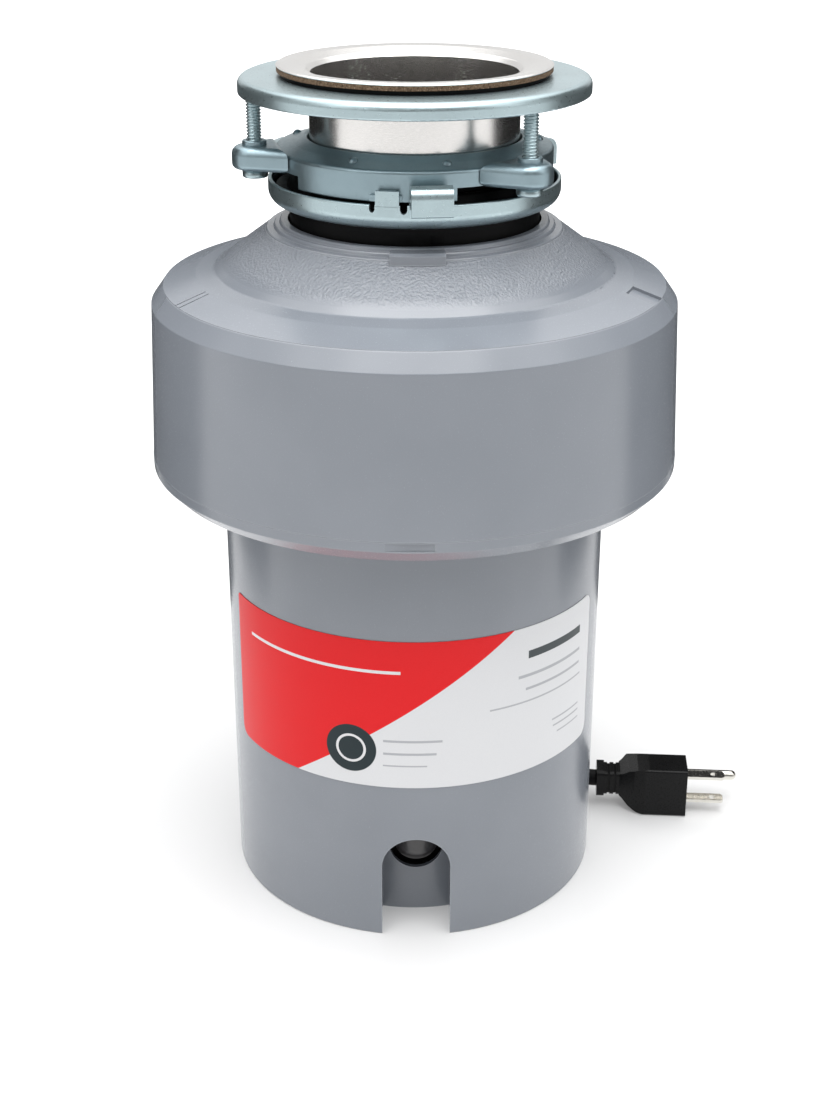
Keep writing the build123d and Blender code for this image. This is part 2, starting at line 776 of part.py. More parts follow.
# --------------------------------------------------------------------- motor
def make_shaft():
    outline = [
        (0, SHAFT_BOTTOM_Z),
        (JOURNAL_R, SHAFT_BOTTOM_Z),
        (JOURNAL_R, 46.4),
        (SHAFT_R, 46.4),
        (SHAFT_R, 128.5),
        (JOURNAL_R, 128.5),
        (JOURNAL_R, 178.0),
        (SHAFT_TOP_R, 178.0),
        (SHAFT_TOP_R, TURNTABLE_Z + TURNTABLE_THICK),
        (5.0, TURNTABLE_Z + TURNTABLE_THICK),
        (5.0, 213.0),
        (0, 213.0),
    ]
    socket = hexagon(HEX_SOCKET, SHAFT_BOTTOM_Z - 1, SHAFT_BOTTOM_Z + 12)
    return turned(outline) - socket


def make_rotor():
    low, high = STATOR_BOTTOM_Z, STATOR_TOP_Z
    core = ring(SHAFT_R, 31.4, low, high)
    end_rings = ring(21.0, 30.0, low - 5, low + 1) + ring(21.0, 30.0, high - 1, high + 5)
    body = core + end_rings
    for step in range(6):
        fin = Rot(0, 0, step * 60) * block((22, -1.2, high + 4), (29, 1.2, high + 9))
        body += fin
    return body


def slot_bar(half_width, inner, outer, low, high):
    return block((inner, -half_width, low), (outer, half_width, high))


def make_stator():
    body = ring(STATOR_BORE_R, STATOR_R, STATOR_BOTTOM_Z, STATOR_TOP_Z)
    for step in range(SLOTS):
        turn = Rot(0, 0, step * 360 / SLOTS)
        body -= turn * slot_bar(2.7, 38.5, 58.5, STATOR_BOTTOM_Z - 1, STATOR_TOP_Z + 1)
        body -= turn * slot_bar(1.0, 30.0, 40.0, STATOR_BOTTOM_Z - 1, STATOR_TOP_Z + 1)
    return body


def make_windings():
    low = turned([(39, 55), (58, 55), (58, 65.7), (39, 65.7)], {(39, 55): 4, (58, 55): 4})
    high = turned(
        [(39, 118.3), (58, 118.3), (58, 127.2), (39, 127.2)], {(39, 127.2): 3, (58, 127.2): 3}
    )
    body = low + high
    for step in range(SLOTS):
        body += Rot(0, 0, step * 360 / SLOTS) * slot_bar(2.4, 39.2, 57.8, 65.0, 119.0)
    return body


def make_lower_bearing():
    return ring(JOURNAL_R + RUNNING_GAP, 14.0, 24.0, 43.0)


def make_upper_bearing():
    return ring(JOURNAL_R + RUNNING_GAP, 14.0, 131.5, 151.4)


def make_thrust_washer():
    return ring(JOURNAL_R + 0.4, 13.4, 44.1, 46.1)


def make_shaft_seal():
    outline = [
        (JOURNAL_R + RUNNING_GAP, 156.0),
        (9.5, 151.6),
        (15.5, 151.6),
        (15.5, 160.5),
        (12.0, 160.5),
        (12.0, 154.5),
        (10.0, 158.0),
        (JOURNAL_R + RUNNING_GAP, 158.0),
    ]
    return turned(outline)


def make_slinger():
    outline = [
        (JOURNAL_R, 164.5),
        (21.8, 164.5),
        (22.6, 158.5),
        (25.0, 158.5),
        (24.2, 167.0),
        (JOURNAL_R, 167.0),
    ]
    return turned(outline)


def bolt_ear(low, high, angle):
    x, y = on_circle(BOLT_CIRCLE_R, angle)
    return rod(BOLT_EAR_R, low, high, x, y)


def make_lower_end_bell():
    outline = [
        (14.0, 22.0),
        (20.0, 22.0),
        (20.0, 40.0),
        (34.0, 48.0),
        (70.9, 48.0),
        (70.9, STATOR_BOTTOM_Z),
        (63.5, STATOR_BOTTOM_Z),
        (63.5, 52.0),
        (33.0, 52.0),
        (18.5, 44.0),
        (14.0, 44.0),
    ]
    body = turned(outline)
    pad = slice_of(58.6, 64.0, 51.0, 54.4, -19, 19)
    outer_half = ALCOVE_HALF_WIDTH + ALCOVE_WALL + 0.5
    body = body + pad - alcove_shape(outer_half, outer_half, 0, -58.4, -95)
    for angle in COVER_SCREW_ANGLES:
        x, y = on_circle(COVER_SCREW_CIRCLE_R, angle)
        body += rod(4.5, 7.2, 49.0, x, y) - rod(2.0, 0, 20.2, x, y)
    for angle in BOLT_ANGLES:
        x, y = on_circle(BOLT_CIRCLE_R, angle)
        body += bolt_ear(50.0, STATOR_BOTTOM_Z, angle) - rod(68.0, 0, 100)
        body -= rod(2.6, 40, 80, x, y)
    for angle in (100, 130, 230, 260):
        x, y = on_circle(56.0, angle)
        body -= rod(4.0, 40, 56, x, y)
    body -= rod(2.0, 40, 56, *on_circle(*GROUND_SCREW))
    return body


def make_through_bolts():
    bolts = []
    for angle in BOLT_ANGLES:
        x, y = on_circle(BOLT_CIRCLE_R, angle)
        shank = rod(2.5, 48.0, 136.5, x, y)
        head = Pos(x, y, 0) * hexagon(7.0, 46.4, 49.9)
        nut = Pos(x, y, 0) * Rot(0, 0, angle) * hexagon(6.8, 133.1, 136.5)
        bolts.append(shank + head + nut)
    return Compound(bolts)


def make_governor_collar():
    outline = [
        (SHAFT_R + 0.06, 47.6),
        (12.0, 47.6),
        (12.0, 49.6),
        (24.0, 49.6),
        (24.0, 51.4),
        (12.6, 51.4),
        (12.6, 56.6),
        (SHAFT_R + 0.06, 56.6),
    ]
    return turned(outline)


def make_start_switch():
    return block((29.5, -7, 52.1), (38.0, 7, 54.4)) + block((33.5, -7, 52.2), (38.0, 7, 60.0))


def make_switch_lever():
    """Leaf that the governor's disc lifts, hinged beside the switch."""
    leaf = block((17.0, -3, 55.0), (31.5, 3, 56.0))
    nose = Pos(18.5, 0, 55.0) * Rot(90, 0, 0) * Cylinder(1.5, 6)
    eye = Pos(31.0, 0, 56.3) * Rot(90, 0, 0) * Cylinder(1.3, 6)
    return leaf + nose + eye


def make_overload_protector():
    body = block((-11.2, -55.0, 21.0), (12.8, -38.0, 45.0))
    body = fillet(body.edges().filter_by(Axis.Y), 2.0)
    return body - rod_y(4.3, -56, -44, BUTTON_Z, ALCOVE_X)


def make_reset_button():
    """Domed push button that the hole in the alcove shows, pressed along +Y."""
    cap = rod_y(9.4, -58.6, -57.4, BUTTON_Z, ALCOVE_X)
    dome_r = 16.0
    sag = dome_r - math.sqrt(dome_r**2 - 9.4**2)
    dome = Pos(ALCOVE_X, -58.6 - sag + dome_r, BUTTON_Z) * Sphere(dome_r)
    dome &= rod_y(9.4, -70, -58.5, BUTTON_Z, ALCOVE_X)
    stem = rod_y(4.0, -57.5, -49.0, BUTTON_Z, ALCOVE_X)
    return cap + dome + stem


def make_terminal_block():
    body = block((-20, 30, 12), (8, 44, 26))
    for k in range(3):
        x = -15 + k * 9
        body -= block((x - 3, 28, 18), (x + 3, 36, 30))
    return body


def make_ground_screw():
    x, y = on_circle(*GROUND_SCREW)
    return rod(4.2, 44.8, 47.9, x, y) + rod(1.95, 47.5, 53.5, x, y)


# ---------------------------------------------------------------- cord, plug
def make_cord_gland():
    """Strain relief: locking flange inside, collar and tapered boot outside."""
    inside = rod_y(9.5, 75.6, 79.3, GLAND_Z)
    neck = rod_y(6.6, 79.0, 83.0, GLAND_Z)
    collar = rod_y(9.5, 82.5, 86.5, GLAND_Z)
    collar = fillet(collar.edges().filter_by(GeomType.CIRCLE).sort_by(Axis.Y)[-1], 1.0)
    boot = Pos(0, (86.0 + GLAND_END_Y) / 2, GLAND_Z) * Rot(-90, 0, 0) * Cone(
        7.2, 5.2, GLAND_END_Y - 86.0
    )
    body = inside + neck + collar + boot
    for k in range(4):
        y = 91.0 + k * 5.0
        body -= rod_y(9.0, y, y + 1.6, GLAND_Z) - rod_y(4.9, y - 1, y + 3, GLAND_Z)
    return body


def cord_tube(points):
    """Tube of straight runs joined by arcs as large as the runs allow."""
    ends = [Vector(*p) for p in points]
    radii = []
    for before, corner, after in zip(ends, ends[1:], ends[2:]):
        turn = math.radians((corner - before).get_angle(after - corner))
        run = min((corner - before).length, (after - corner).length)
        radii.append(0.45 * run / math.tan(turn / 2))
    path = FilletPolyline(*points, radius=radii)
    start = Plane(path @ 0, z_dir=path % 0)
    return sweep(start * Circle(CORD_R), path=path)


EXIT_ROUTE = [
    (0, GLAND_END_Y, GLAND_Z),
    (0, GLAND_END_Y + 11, GLAND_Z),
    (-1.4, GLAND_END_Y + 22, 20.4),
    (-4.2, GLAND_END_Y + 33, 13.6),
    (-7.8, GLAND_END_Y + 44, 7.6),
    (-11.0, GLAND_END_Y + 54, 4.6),
    (COIL_X - COIL_TURN_R, COIL_Y, 4.3),
]

PLUG_ROUTE = [
    (COIL_X + COIL_OUTER_TURN_R, COIL_Y, 4.3),
    (81.8, 150, 4.3),
    (82.8, 124, 4.5),
    (82.4, 98, 5.4),
    (80.4, 74, 8.4),
    (78.6, 57, 11.2),
    (78.1, 45.2, 12.3),
    (78.1, 37.9, 12.6),
    (80.5, 33.2, 12.6),
    (84.8, 30.37, 12.6),
    (PLUG_X, PLUG_Y, PLUG_Z),
]


def make_coil():
    """Two stacked turns with half a turn beside them at the back."""
    stack = ring(COIL_TURN_R - 4.2, COIL_TURN_R + 4.2, 0.2, 16.6)
    half = turned(
        [
            (COIL_TURN_R + 4.0, 0.2),
            (COIL_OUTER_TURN_R + 4.2, 0.2),
            (COIL_OUTER_TURN_R + 4.2, 8.6),
            (COIL_TURN_R + 4.0, 8.6),
        ],
        arc=180,
    )
    body = stack + half
    return Pos(COIL_X, COIL_Y, 0) * body


def make_cord_tie():
    """Flat tie round the bundle, at the back of the coil."""
    inner, outer = COIL_TURN_R - 4.4, COIL_OUTER_TURN_R + 4.4
    strap = block((-3, inner - 1, 0), (3, outer + 1, 17.8))
    hollow = block((-5, inner, 0.1), (5, outer, 16.8))
    wrap = strap - hollow
    return Pos(COIL_X, COIL_Y, 0) * wrap


def plug_frame():
    return Pos(PLUG_X, PLUG_Y, PLUG_Z) * Rot(0, 0, PLUG_TURN)


PLUG_BODY_END = 43.2
BLADE_Y = -5.1
BLADE_HALF_GAP = 6.35
BLADE_WIDE = 6.3
BLADE_THICK = 1.5
PIN_Y = BLADE_Y + 11.9
PIN_R = 2.4
PIN_LENGTH = 30.0
PIN_MIDDLE = PLUG_BODY_END + 8.2


def blade_slot(side, far):
    """Flat bar from 6 mm inside the body: the blade itself or the slot it sits in."""
    z = side * BLADE_HALF_GAP
    return block(
        (PLUG_BODY_END - 6, BLADE_Y - BLADE_WIDE / 2, z - BLADE_THICK / 2),
        (far, BLADE_Y + BLADE_WIDE / 2, z + BLADE_THICK / 2),
    )


def blade(side):
    z = side * BLADE_HALF_GAP
    tip = PLUG_BODY_END + 18.4
    body = blade_slot(side, tip)
    corners = body.edges().filter_by(Axis.Z).sort_by(Axis.X)[-2:]
    body = chamfer(corners, 1.2)
    return body - Pos(tip - 5.2, BLADE_Y, z) * Cylinder(1.6, 6)


def make_plug_blades():
    return plug_frame() * Compound([blade(side) for side in (-1, 1)])


def pin_bar():
    """The ground pin's straight part, which is also the hole it sits in."""
    return Pos(PIN_MIDDLE, PIN_Y, 0) * Rot(0, 90, 0) * Cylinder(PIN_R, PIN_LENGTH)


def make_plug_ground_pin():
    nose = Pos(PIN_MIDDLE + PIN_LENGTH / 2, PIN_Y, 0) * Sphere(PIN_R)
    return plug_frame() * (pin_bar() + nose)


def make_plug_body():
    """Six-sided moulded body that swells from a square ribbed strain relief."""
    side_view = make_face(
        Polyline((11, -6.0), (12.5, -6.8), (15.4, -9.6), (19.5, -11.7), (25, -12.5),
                 (PLUG_BODY_END, -12.5), (PLUG_BODY_END, 12.5), (25, 12.5), (19.5, 11.7),
                 (15.4, 9.6), (12.5, 6.8), (11, 6.0), close=True)
    )
    side = Rot(90, 0, 0) * extrude(side_view, 20, both=True)
    across = Polyline((-13.4, -12.5), (3.2, -12.5), (12.4, -6.6), (12.4, 6.6), (3.2, 12.5),
                      (-13.4, 12.5), close=True)
    slab = extrude(Plane.YZ * make_face(across), PLUG_BODY_END)
    slab = fillet(slab.edges().filter_by(Axis.X), 1.2)
    plan_view = make_face(
        Polyline((11, -6.2), (14, -8.8), (18, -11.6), (23, -13.4), (PLUG_BODY_END, -13.4),
                 (PLUG_BODY_END, 12.4), (23, 12.4), (18, 10.6), (14, 8.4), (11, 6.2), close=True)
    )
    plan = extrude(plan_view, 20, both=True)
    body = slab & side & plan
    relief = block((3.4, -6.2, -6.2), (12.0, 6.2, 6.2))
    relief = fillet(relief.edges().filter_by(Axis.X), 2.0)
    end_flange = block((0, -7.0, -7.0), (3.6, 7.0, 7.0))
    end_flange = fillet(end_flange.edges().filter_by(Axis.X), 2.4)
    rib_gaps = []
    for k in range(2):
        x = 5.2 + k * 3.1
        ring_cut = block((x, -9, -9), (x + 1.2, 9, 9)) - block((x, -5.2, -5.2), (x + 1.2, 5.2, 5.2))
        rib_gaps.append(ring_cut)
    body += relief - rib_gaps[0] - rib_gaps[1] + end_flange
    for side_sign in (-1, 1):
        body -= blade_slot(side_sign, PLUG_BODY_END + 1)
    return plug_frame() * (body - pin_bar())


# --------------------------------------------------------------------- write
NODES = {
    "sink_flange": make_sink_flange(),
    "fiber_gasket": ring(50.3, 55.3, 357.72, 359.5),
    "rubber_gasket": ring(46.5, 54.0, 355.95, 357.67),
    "backup_flange": make_backup_flange(),
    "mounting_ring": make_mounting_ring(),
    "mounting_screw_left": make_screw(EAR_ANGLES[0]),
    "mounting_screw_right": make_screw(EAR_ANGLES[1]),
    "mounting_screw_rear": make_screw(EAR_ANGLES[2]),
    "snap_ring": make_snap_ring(),
    "lower_mounting_ring": make_lower_mounting_ring(),
    "cushion_mount": make_cushion_mount(),
    "splash_baffle": make_splash_baffle(),
    "neck_collar": make_neck_collar(),
    "upper_cover": make_upper_cover(),
    "front_band": make_front_band(),
    "waist_ring": make_waist_ring(),
    "lower_housing": make_lower_housing(),
    "label": make_label(),
    "bottom_cover": make_bottom_cover(),
    "bottom_cover_screws": make_bottom_cover_screws(),
    "insulation_upper": make_insulation_upper(),
    "insulation_lower": make_insulation_lower(),
    "grind_container": make_grind_container(),
    "shredder_ring": make_shredder_ring(),
    "container_gasket": make_container_gasket(),
    "clamp_band": make_clamp_band(),
    "turntable": make_turntable(),
    "impeller_a": make_impeller(90),
    "impeller_b": make_impeller(270),
    "impeller_pins": make_impeller_pins(),
    "turntable_nut": make_turntable_nut(),
    "drain_chamber": make_drain_chamber(),
    "shaft_seal": make_shaft_seal(),
    "slinger": make_slinger(),
    "upper_bearing": make_upper_bearing(),
    "lower_bearing": make_lower_bearing(),
    "thrust_washer": make_thrust_washer(),
    "motor_shaft": make_shaft(),
    "rotor": make_rotor(),
    "stator": make_stator(),
    "windings": make_windings(),
    "lower_end_bell": make_lower_end_bell(),
    "through_bolts": make_through_bolts(),
    "governor_collar": make_governor_collar(),
    "start_switch": make_start_switch(),
    "switch_lever": make_switch_lever(),
    "overload_protector": make_overload_protector(),
    "reset_button": make_reset_button(),
    "terminal_block": make_terminal_block(),
    "ground_screw": make_ground_screw(),
    "cord_gland": make_cord_gland(),
    "cord_exit_run": cord_tube(EXIT_ROUTE),
    "cord_coil": make_coil(),
    "cord_tie": make_cord_tie(),
    "cord_plug_run": cord_tube(PLUG_ROUTE),
    "plug_body": make_plug_body(),
    "plug_blades": make_plug_blades(),
    "plug_ground_pin": make_plug_ground_pin(),
}

os.makedirs("parts", exist_ok=True)
for name, shape in NODES.items():
    export_step(shape, f"parts/{name}.step")
print(len(NODES), "nodes")
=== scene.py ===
"""Looks of the kitchen garbage disposal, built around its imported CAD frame.

Metres, +Z up, motor axis on Z, front towards -Y.
"""

import json
import math

import bmesh
import bpy
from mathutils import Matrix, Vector


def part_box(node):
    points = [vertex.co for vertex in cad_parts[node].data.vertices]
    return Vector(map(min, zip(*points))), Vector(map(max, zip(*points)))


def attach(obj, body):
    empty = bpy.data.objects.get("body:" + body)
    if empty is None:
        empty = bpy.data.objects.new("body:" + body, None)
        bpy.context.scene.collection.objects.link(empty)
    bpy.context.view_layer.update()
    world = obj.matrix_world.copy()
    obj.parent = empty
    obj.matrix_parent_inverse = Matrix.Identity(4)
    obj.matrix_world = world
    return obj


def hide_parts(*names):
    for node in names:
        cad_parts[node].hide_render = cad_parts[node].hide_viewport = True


MM = 0.001
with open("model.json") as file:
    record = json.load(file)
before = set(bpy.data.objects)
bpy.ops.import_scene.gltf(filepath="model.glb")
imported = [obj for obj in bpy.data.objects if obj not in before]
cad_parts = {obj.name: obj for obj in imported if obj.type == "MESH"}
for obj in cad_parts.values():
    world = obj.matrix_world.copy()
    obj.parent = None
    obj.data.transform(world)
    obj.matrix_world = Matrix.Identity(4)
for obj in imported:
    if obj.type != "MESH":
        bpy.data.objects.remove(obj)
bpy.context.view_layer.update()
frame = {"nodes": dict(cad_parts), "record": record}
nodes = frame["nodes"]


def new_object(name, mesh):
    obj = bpy.data.objects.new(name, mesh)
    bpy.context.scene.collection.objects.link(obj)
    return obj


# ------------------------------------------------------------------ node helper
class Shader:
    """A Principled material and short calls for the nodes that feed it."""

    def __init__(self, name, **values):
        self.material = bpy.data.materials.new(name)
        self.material.use_nodes = True
        self.tree = self.material.node_tree
        self.surface = self.tree.nodes["Principled BSDF"]
        self.place = self.node("ShaderNodeTexCoord").outputs["Object"]
        for key, value in values.items():
            socket = self.surface.inputs[key.replace("_", " ").title().replace("Ior", "IOR")]
            socket.default_value = (*value, 1) if isinstance(value, tuple) else value

    def node(self, kind, **settings):
        made = self.tree.nodes.new(kind)
        for key, value in settings.items():
            setattr(made, key, value)
        return made

    def feed(self, socket, value):
        if isinstance(value, bpy.types.NodeSocket):
            self.tree.links.new(value, socket)
        elif isinstance(value, tuple) and len(value) == 3 and socket.type == "RGBA":
            socket.default_value = (*value, 1)
        else:
            socket.default_value = value

    def math(self, operation, *values):
        made = self.node("ShaderNodeMath", operation=operation)
        for socket, value in zip(made.inputs, values):
            self.feed(socket, value)
        return made.outputs[0]

    def noise(self, scale, detail=3.0, rough=0.5, place=None):
        made = self.node("ShaderNodeTexNoise")
        self.feed(made.inputs["Vector"], place or self.place)
        made.inputs["Scale"].default_value = scale
        made.inputs["Detail"].default_value = detail
        made.inputs["Roughness"].default_value = rough
        return made.outputs["Fac"]

    def cells(self, scale):
        made = self.node("ShaderNodeTexVoronoi")
        self.feed(made.inputs["Vector"], self.place)
        made.inputs["Scale"].default_value = scale
        return made.outputs["Distance"]

    def ramp(self, value, low, high, start=0.0, end=1.0):
        """Maps low..high to start..end, clamped."""
        made = self.node("ShaderNodeMapRange")
        for socket, number in zip(made.inputs, (value, low, high, start, end)):
            self.feed(socket, number)
        return made.outputs[0]

    def mix(self, factor, first, second):
        made = self.node("ShaderNodeMix", data_type="RGBA")
        self.feed(made.inputs["Factor"], factor)
        self.feed(made.inputs[6], first)
        self.feed(made.inputs[7], second)
        return made.outputs[2]

    def split(self):
        made = self.node("ShaderNodeSeparateXYZ")
        self.feed(made.inputs[0], self.place)
        return made.outputs

    def near(self, value, low, high):
        """1 where value is between low and high, 0 elsewhere."""
        return self.math("COMPARE", value, (low + high) / 2, (high - low) / 2)

    def bump(self, height, distance, strength=1.0, below=None):
        made = self.node("ShaderNodeBump")
        made.inputs["Distance"].default_value = distance
        made.inputs["Strength"].default_value = strength
        self.feed(made.inputs["Height"], height)
        if below is not None:
            self.feed(made.inputs["Normal"], below)
        return made.outputs[0]

    def painted_edge_highlight(self, reach):
        """Mask for a painted highlight: 1 on convex edges, 0 elsewhere, from the bevelled normal."""
        bevel = self.node("ShaderNodeBevel", samples=6)
        bevel.inputs["Radius"].default_value = reach
        geometry = self.node("ShaderNodeNewGeometry")
        dot = self.node("ShaderNodeVectorMath", operation="DOT_PRODUCT")
        self.feed(dot.inputs[0], bevel.outputs[0])
        self.feed(dot.inputs[1], geometry.outputs["Normal"])
        return self.ramp(dot.outputs["Value"], 0.99, 0.85)

    def polar(self):
        """Angle from the front in radians, + to the right, and distance from the motor axis."""
        x, y, _ = self.split()
        angle = self.math("ARCTAN2", x, self.math("MULTIPLY", y, -1.0))
        return angle, self.length(x, y)

    def length(self, across, along):
        """Length of a step of which these are the two components."""
        squares = self.math("POWER", across, 2.0), self.math("POWER", along, 2.0)
        return self.math("SQRT", self.math("ADD", *squares))

    def color(self, value):
        self.feed(self.surface.inputs["Base Color"], value)

    def rough(self, value):
        self.feed(self.surface.inputs["Roughness"], value)

    def normal(self, value):
        self.feed(self.surface.inputs["Normal"], value)


# -------------------------------------------------------------------- materials
def stainless():
    """Brushed round the axis: fine lines that vary along the height and the radius."""
    s = Shader("stainless", metallic=1.0, anisotropic=0.45)
    angle, radius = s.polar()
    _, _, z = s.split()
    along = s.math("ADD", z, radius)
    lines = s.node("ShaderNodeCombineXYZ")
    s.feed(lines.inputs[0], s.math("MULTIPLY", angle, 0.004))
    s.feed(lines.inputs[1], along)
    brushed = s.noise(5200, 4.0, 0.6, lines.outputs[0])
    cloud = s.noise(45, 2.0)
    s.color(s.mix(s.ramp(brushed, 0.3, 0.7), (0.66, 0.645, 0.63), (0.80, 0.785, 0.765)))
    s.rough(s.ramp(s.math("ADD", brushed, s.math("MULTIPLY", cloud, 0.5)), 0.5, 1.1, 0.17, 0.31))
    s.normal(s.bump(brushed, 0.00002, 0.5))
    return s.material


def zinc(name, tint, rough_low, rough_high, grain, pits):
    """Clear zinc plating: satin, blue-green, with a fine frosty grain and a painted highlight on its
    edges.
    """
    s = Shader(name, metallic=0.9, specular_ior_level=0.6)
    frost = s.noise(grain, 5.0, 0.65)
    cloud = s.noise(60, 3.0)
    edge_highlight = s.painted_edge_highlight(0.0006)
    darker = tuple(c * 0.93 for c in tint)
    highlight_tint = tuple(min(1.0, c * 1.2) for c in tint)
    base = s.mix(s.ramp(cloud, 0.35, 0.65), darker, tint)
    # Painted highlight: convex edges are lightened towards a paler tint.
    base = s.mix(s.math("MULTIPLY", edge_highlight, 0.5), base, highlight_tint)
    s.color(base)
    s.rough(s.ramp(frost, 0.35, 0.65, rough_low, rough_high))
    s.normal(s.bump(frost, 0.00002, pits))
    return s.material


# The textured cone of the upper cover ends here, fading out from the first to the second
CONE_OUTER_R = (0.076, 0.080)
CONE_LOW_Z = (0.277, 0.274)


def grey_plastic(name, texture):
    """Moulded casing in semi-gloss grey, with a painted highlight on convex edges. A texture of 1
    gives the cone an orange-peel skin.
    """
    s = Shader(name, specular_ior_level=0.62)
    cloud = s.noise(22, 2.0)
    fine = s.noise(2600, 3.0, 0.6)
    edge_highlight = s.painted_edge_highlight(0.0008)
    base = s.mix(s.ramp(cloud, 0.3, 0.7), (0.168, 0.184, 0.208), (0.184, 0.200, 0.225))
    # Painted highlight: convex edges are lightened towards a paler grey.
    s.color(s.mix(s.math("MULTIPLY", edge_highlight, 0.45), base, (0.33, 0.345, 0.37)))
    s.rough(s.ramp(fine, 0.3, 0.7, 0.20, 0.28))
    peel = s.noise(900, 2.0, 0.5)
    _, radius = s.polar()
    _, _, z = s.split()
    inside = s.ramp(radius, CONE_OUTER_R[1], CONE_OUTER_R[0])
    above = s.ramp(z, CONE_LOW_Z[1], CONE_LOW_Z[0])
    on_cone = s.math("MULTIPLY", inside, above)
    height = s.math("MULTIPLY", peel, s.math("MULTIPLY", on_cone, texture))
    skin = s.bump(height, 0.0006, 1.0)
    s.normal(s.bump(fine, 0.000012, 0.4, skin))
    return s.material


LABEL_BORDER_START = (math.radians(-35.1), 0.0767)    # angle from the front, height
LABEL_BORDER_END = (math.radians(30.6), 0.1441)
LABEL_DISC = (math.radians(-18.8), 0.0920)
LABEL_DISC_R = 0.0111
LABEL_DISC_RING = (0.50, 0.60)         # its pale ring, as shares of the disc's radius
LABEL_SKIN_R = 0.0827
PRINT_EDGE = 0.00012                   # half the width over which two inks meet
DISC_EDGE = 0.0001
LABEL_WHITE = (0.62, 0.625, 0.635)
LABEL_INK = (0.05, 0.06, 0.065)
LABEL_PALE_INK = (0.36, 0.37, 0.39)
# Plain bars in place of print: first and last angle, lowest and highest z in mm
LABEL_RULES = [(-57, -4, 128.4, 129.8)]
LABEL_DARK_BARS = [(35, 59, 128.4, 132.0)]
LABEL_PALE_BARS = [
    (31.6, 59.2, 119.9, 121.3),
    (34.3, 59.1, 113.7, 114.9),
    (22.3, 60.0, 108.0, 108.8),
    (45.5, 59.5, 93.6, 94.4),
    (46.0, 59.6, 90.4, 91.2),
    (48.0, 59.8, 86.7, 87.4),
    (-9.1, 8.1, 96.5, 97.6),
    (-9.1, 6.4, 90.5, 91.6),
    (-9.2, 3.7, 85.0, 85.7),
]


def label_print():
    """Red field over a slanting border, a plain dark disc, and plain bars instead of print."""
    s = Shader("label_print", specular_ior_level=0.16, coat_weight=0.04, coat_roughness=0.2)
    angle, _ = s.polar()
    _, _, z = s.split()
    rise = LABEL_BORDER_END[1] - LABEL_BORDER_START[1]
    slope = rise / (LABEL_BORDER_END[0] - LABEL_BORDER_START[0])
    run = s.math("MULTIPLY", s.math("SUBTRACT", angle, LABEL_BORDER_START[0]), slope)
    border = s.math("ADD", run, LABEL_BORDER_START[1])
    above = s.ramp(s.math("SUBTRACT", z, border), -PRINT_EDGE, PRINT_EDGE)
    paper = s.noise(1800, 3.0)
    white = s.mix(paper, (0.58, 0.585, 0.60), LABEL_WHITE)
    red = s.mix(paper, (0.60, 0.006, 0.009), (0.65, 0.010, 0.013))
    face = s.mix(above, white, red)
    inks = (LABEL_RULES, LABEL_WHITE), (LABEL_DARK_BARS, LABEL_INK), (LABEL_PALE_BARS, LABEL_PALE_INK)
    for places, ink in inks:
        for first, last, low, high in places:
            across = s.near(angle, math.radians(first), math.radians(last))
            along = s.near(z, low * MM, high * MM)
            face = s.mix(s.math("MULTIPLY", across, along), face, ink)
    across = s.math("MULTIPLY", s.math("SUBTRACT", angle, LABEL_DISC[0]), LABEL_SKIN_R)
    away = s.length(across, s.math("SUBTRACT", z, LABEL_DISC[1]))
    disc = s.ramp(away, LABEL_DISC_R + DISC_EDGE, LABEL_DISC_R - DISC_EDGE)
    face = s.mix(disc, face, (0.016, 0.026, 0.030))
    ring = s.near(away, *(LABEL_DISC_R * share for share in LABEL_DISC_RING))
    face = s.mix(ring, face, (0.62, 0.62, 0.63))
    s.color(face)
    s.rough(s.ramp(paper, 0.3, 0.7, 0.34, 0.42))
    s.normal(s.bump(paper, 0.00001, 0.3))
    return s.material


def black_rubber(name="black_rubber", tone=0.0035, rough=0.5):
    s = Shader(name, specular_ior_level=0.08)
    dust = s.noise(300, 4.0, 0.6)
    skin = s.noise(2200, 3.0)
    clean = (tone, tone, tone * 1.06)
    dusty = (tone * 1.8, tone * 1.8, tone * 1.9)
    s.color(s.mix(s.ramp(dust, 0.45, 0.75), clean, dusty))
    s.rough(s.ramp(dust, 0.3, 0.7, rough - 0.08, rough + 0.08))
    s.normal(s.bump(skin, 0.00004, 0.5))
    return s.material


def black_plastic(name="black_plastic", tone=0.004, rough=0.3):
    s = Shader(name, specular_ior_level=0.14)
    skin = s.noise(1700, 3.0, 0.55)
    cloud = s.noise(80, 2.0)
    s.color(s.mix(cloud, (tone, tone, tone * 1.05), (tone * 1.7, tone * 1.7, tone * 1.75)))
    s.rough(s.ramp(skin, 0.3, 0.7, rough - 0.07, rough + 0.07))
    s.normal(s.bump(skin, 0.00005, 0.6))
    return s.material


def fibre():
    """Pressed brown fibre with pale flecks."""
    s = Shader("fiber", specular_ior_level=0.3)
    fleck = s.cells(1500)
    grain = s.noise(1300, 5.0, 0.7)
    base = s.mix(s.ramp(grain, 0.35, 0.65), (0.045, 0.026, 0.016), (0.20, 0.125, 0.075))
    s.color(s.mix(s.ramp(fleck, 0.22, 0.12), base, (0.52, 0.40, 0.28)))
    s.rough(0.85)
    s.normal(s.bump(grain, 0.0001, 0.8))
    return s.material


def bright_steel(name, tone, rough=0.3):
    s = Shader(name, metallic=1.0)
    grain = s.noise(1400, 4.0, 0.6)
    cloud = s.noise(70, 3.0)
    s.color(s.mix(cloud, tuple(c * 0.82 for c in tone), tone))
    s.rough(s.ramp(grain, 0.3, 0.7, rough - 0.06, rough + 0.1))
    s.normal(s.bump(grain, 0.00002, 0.4))
    return s.material


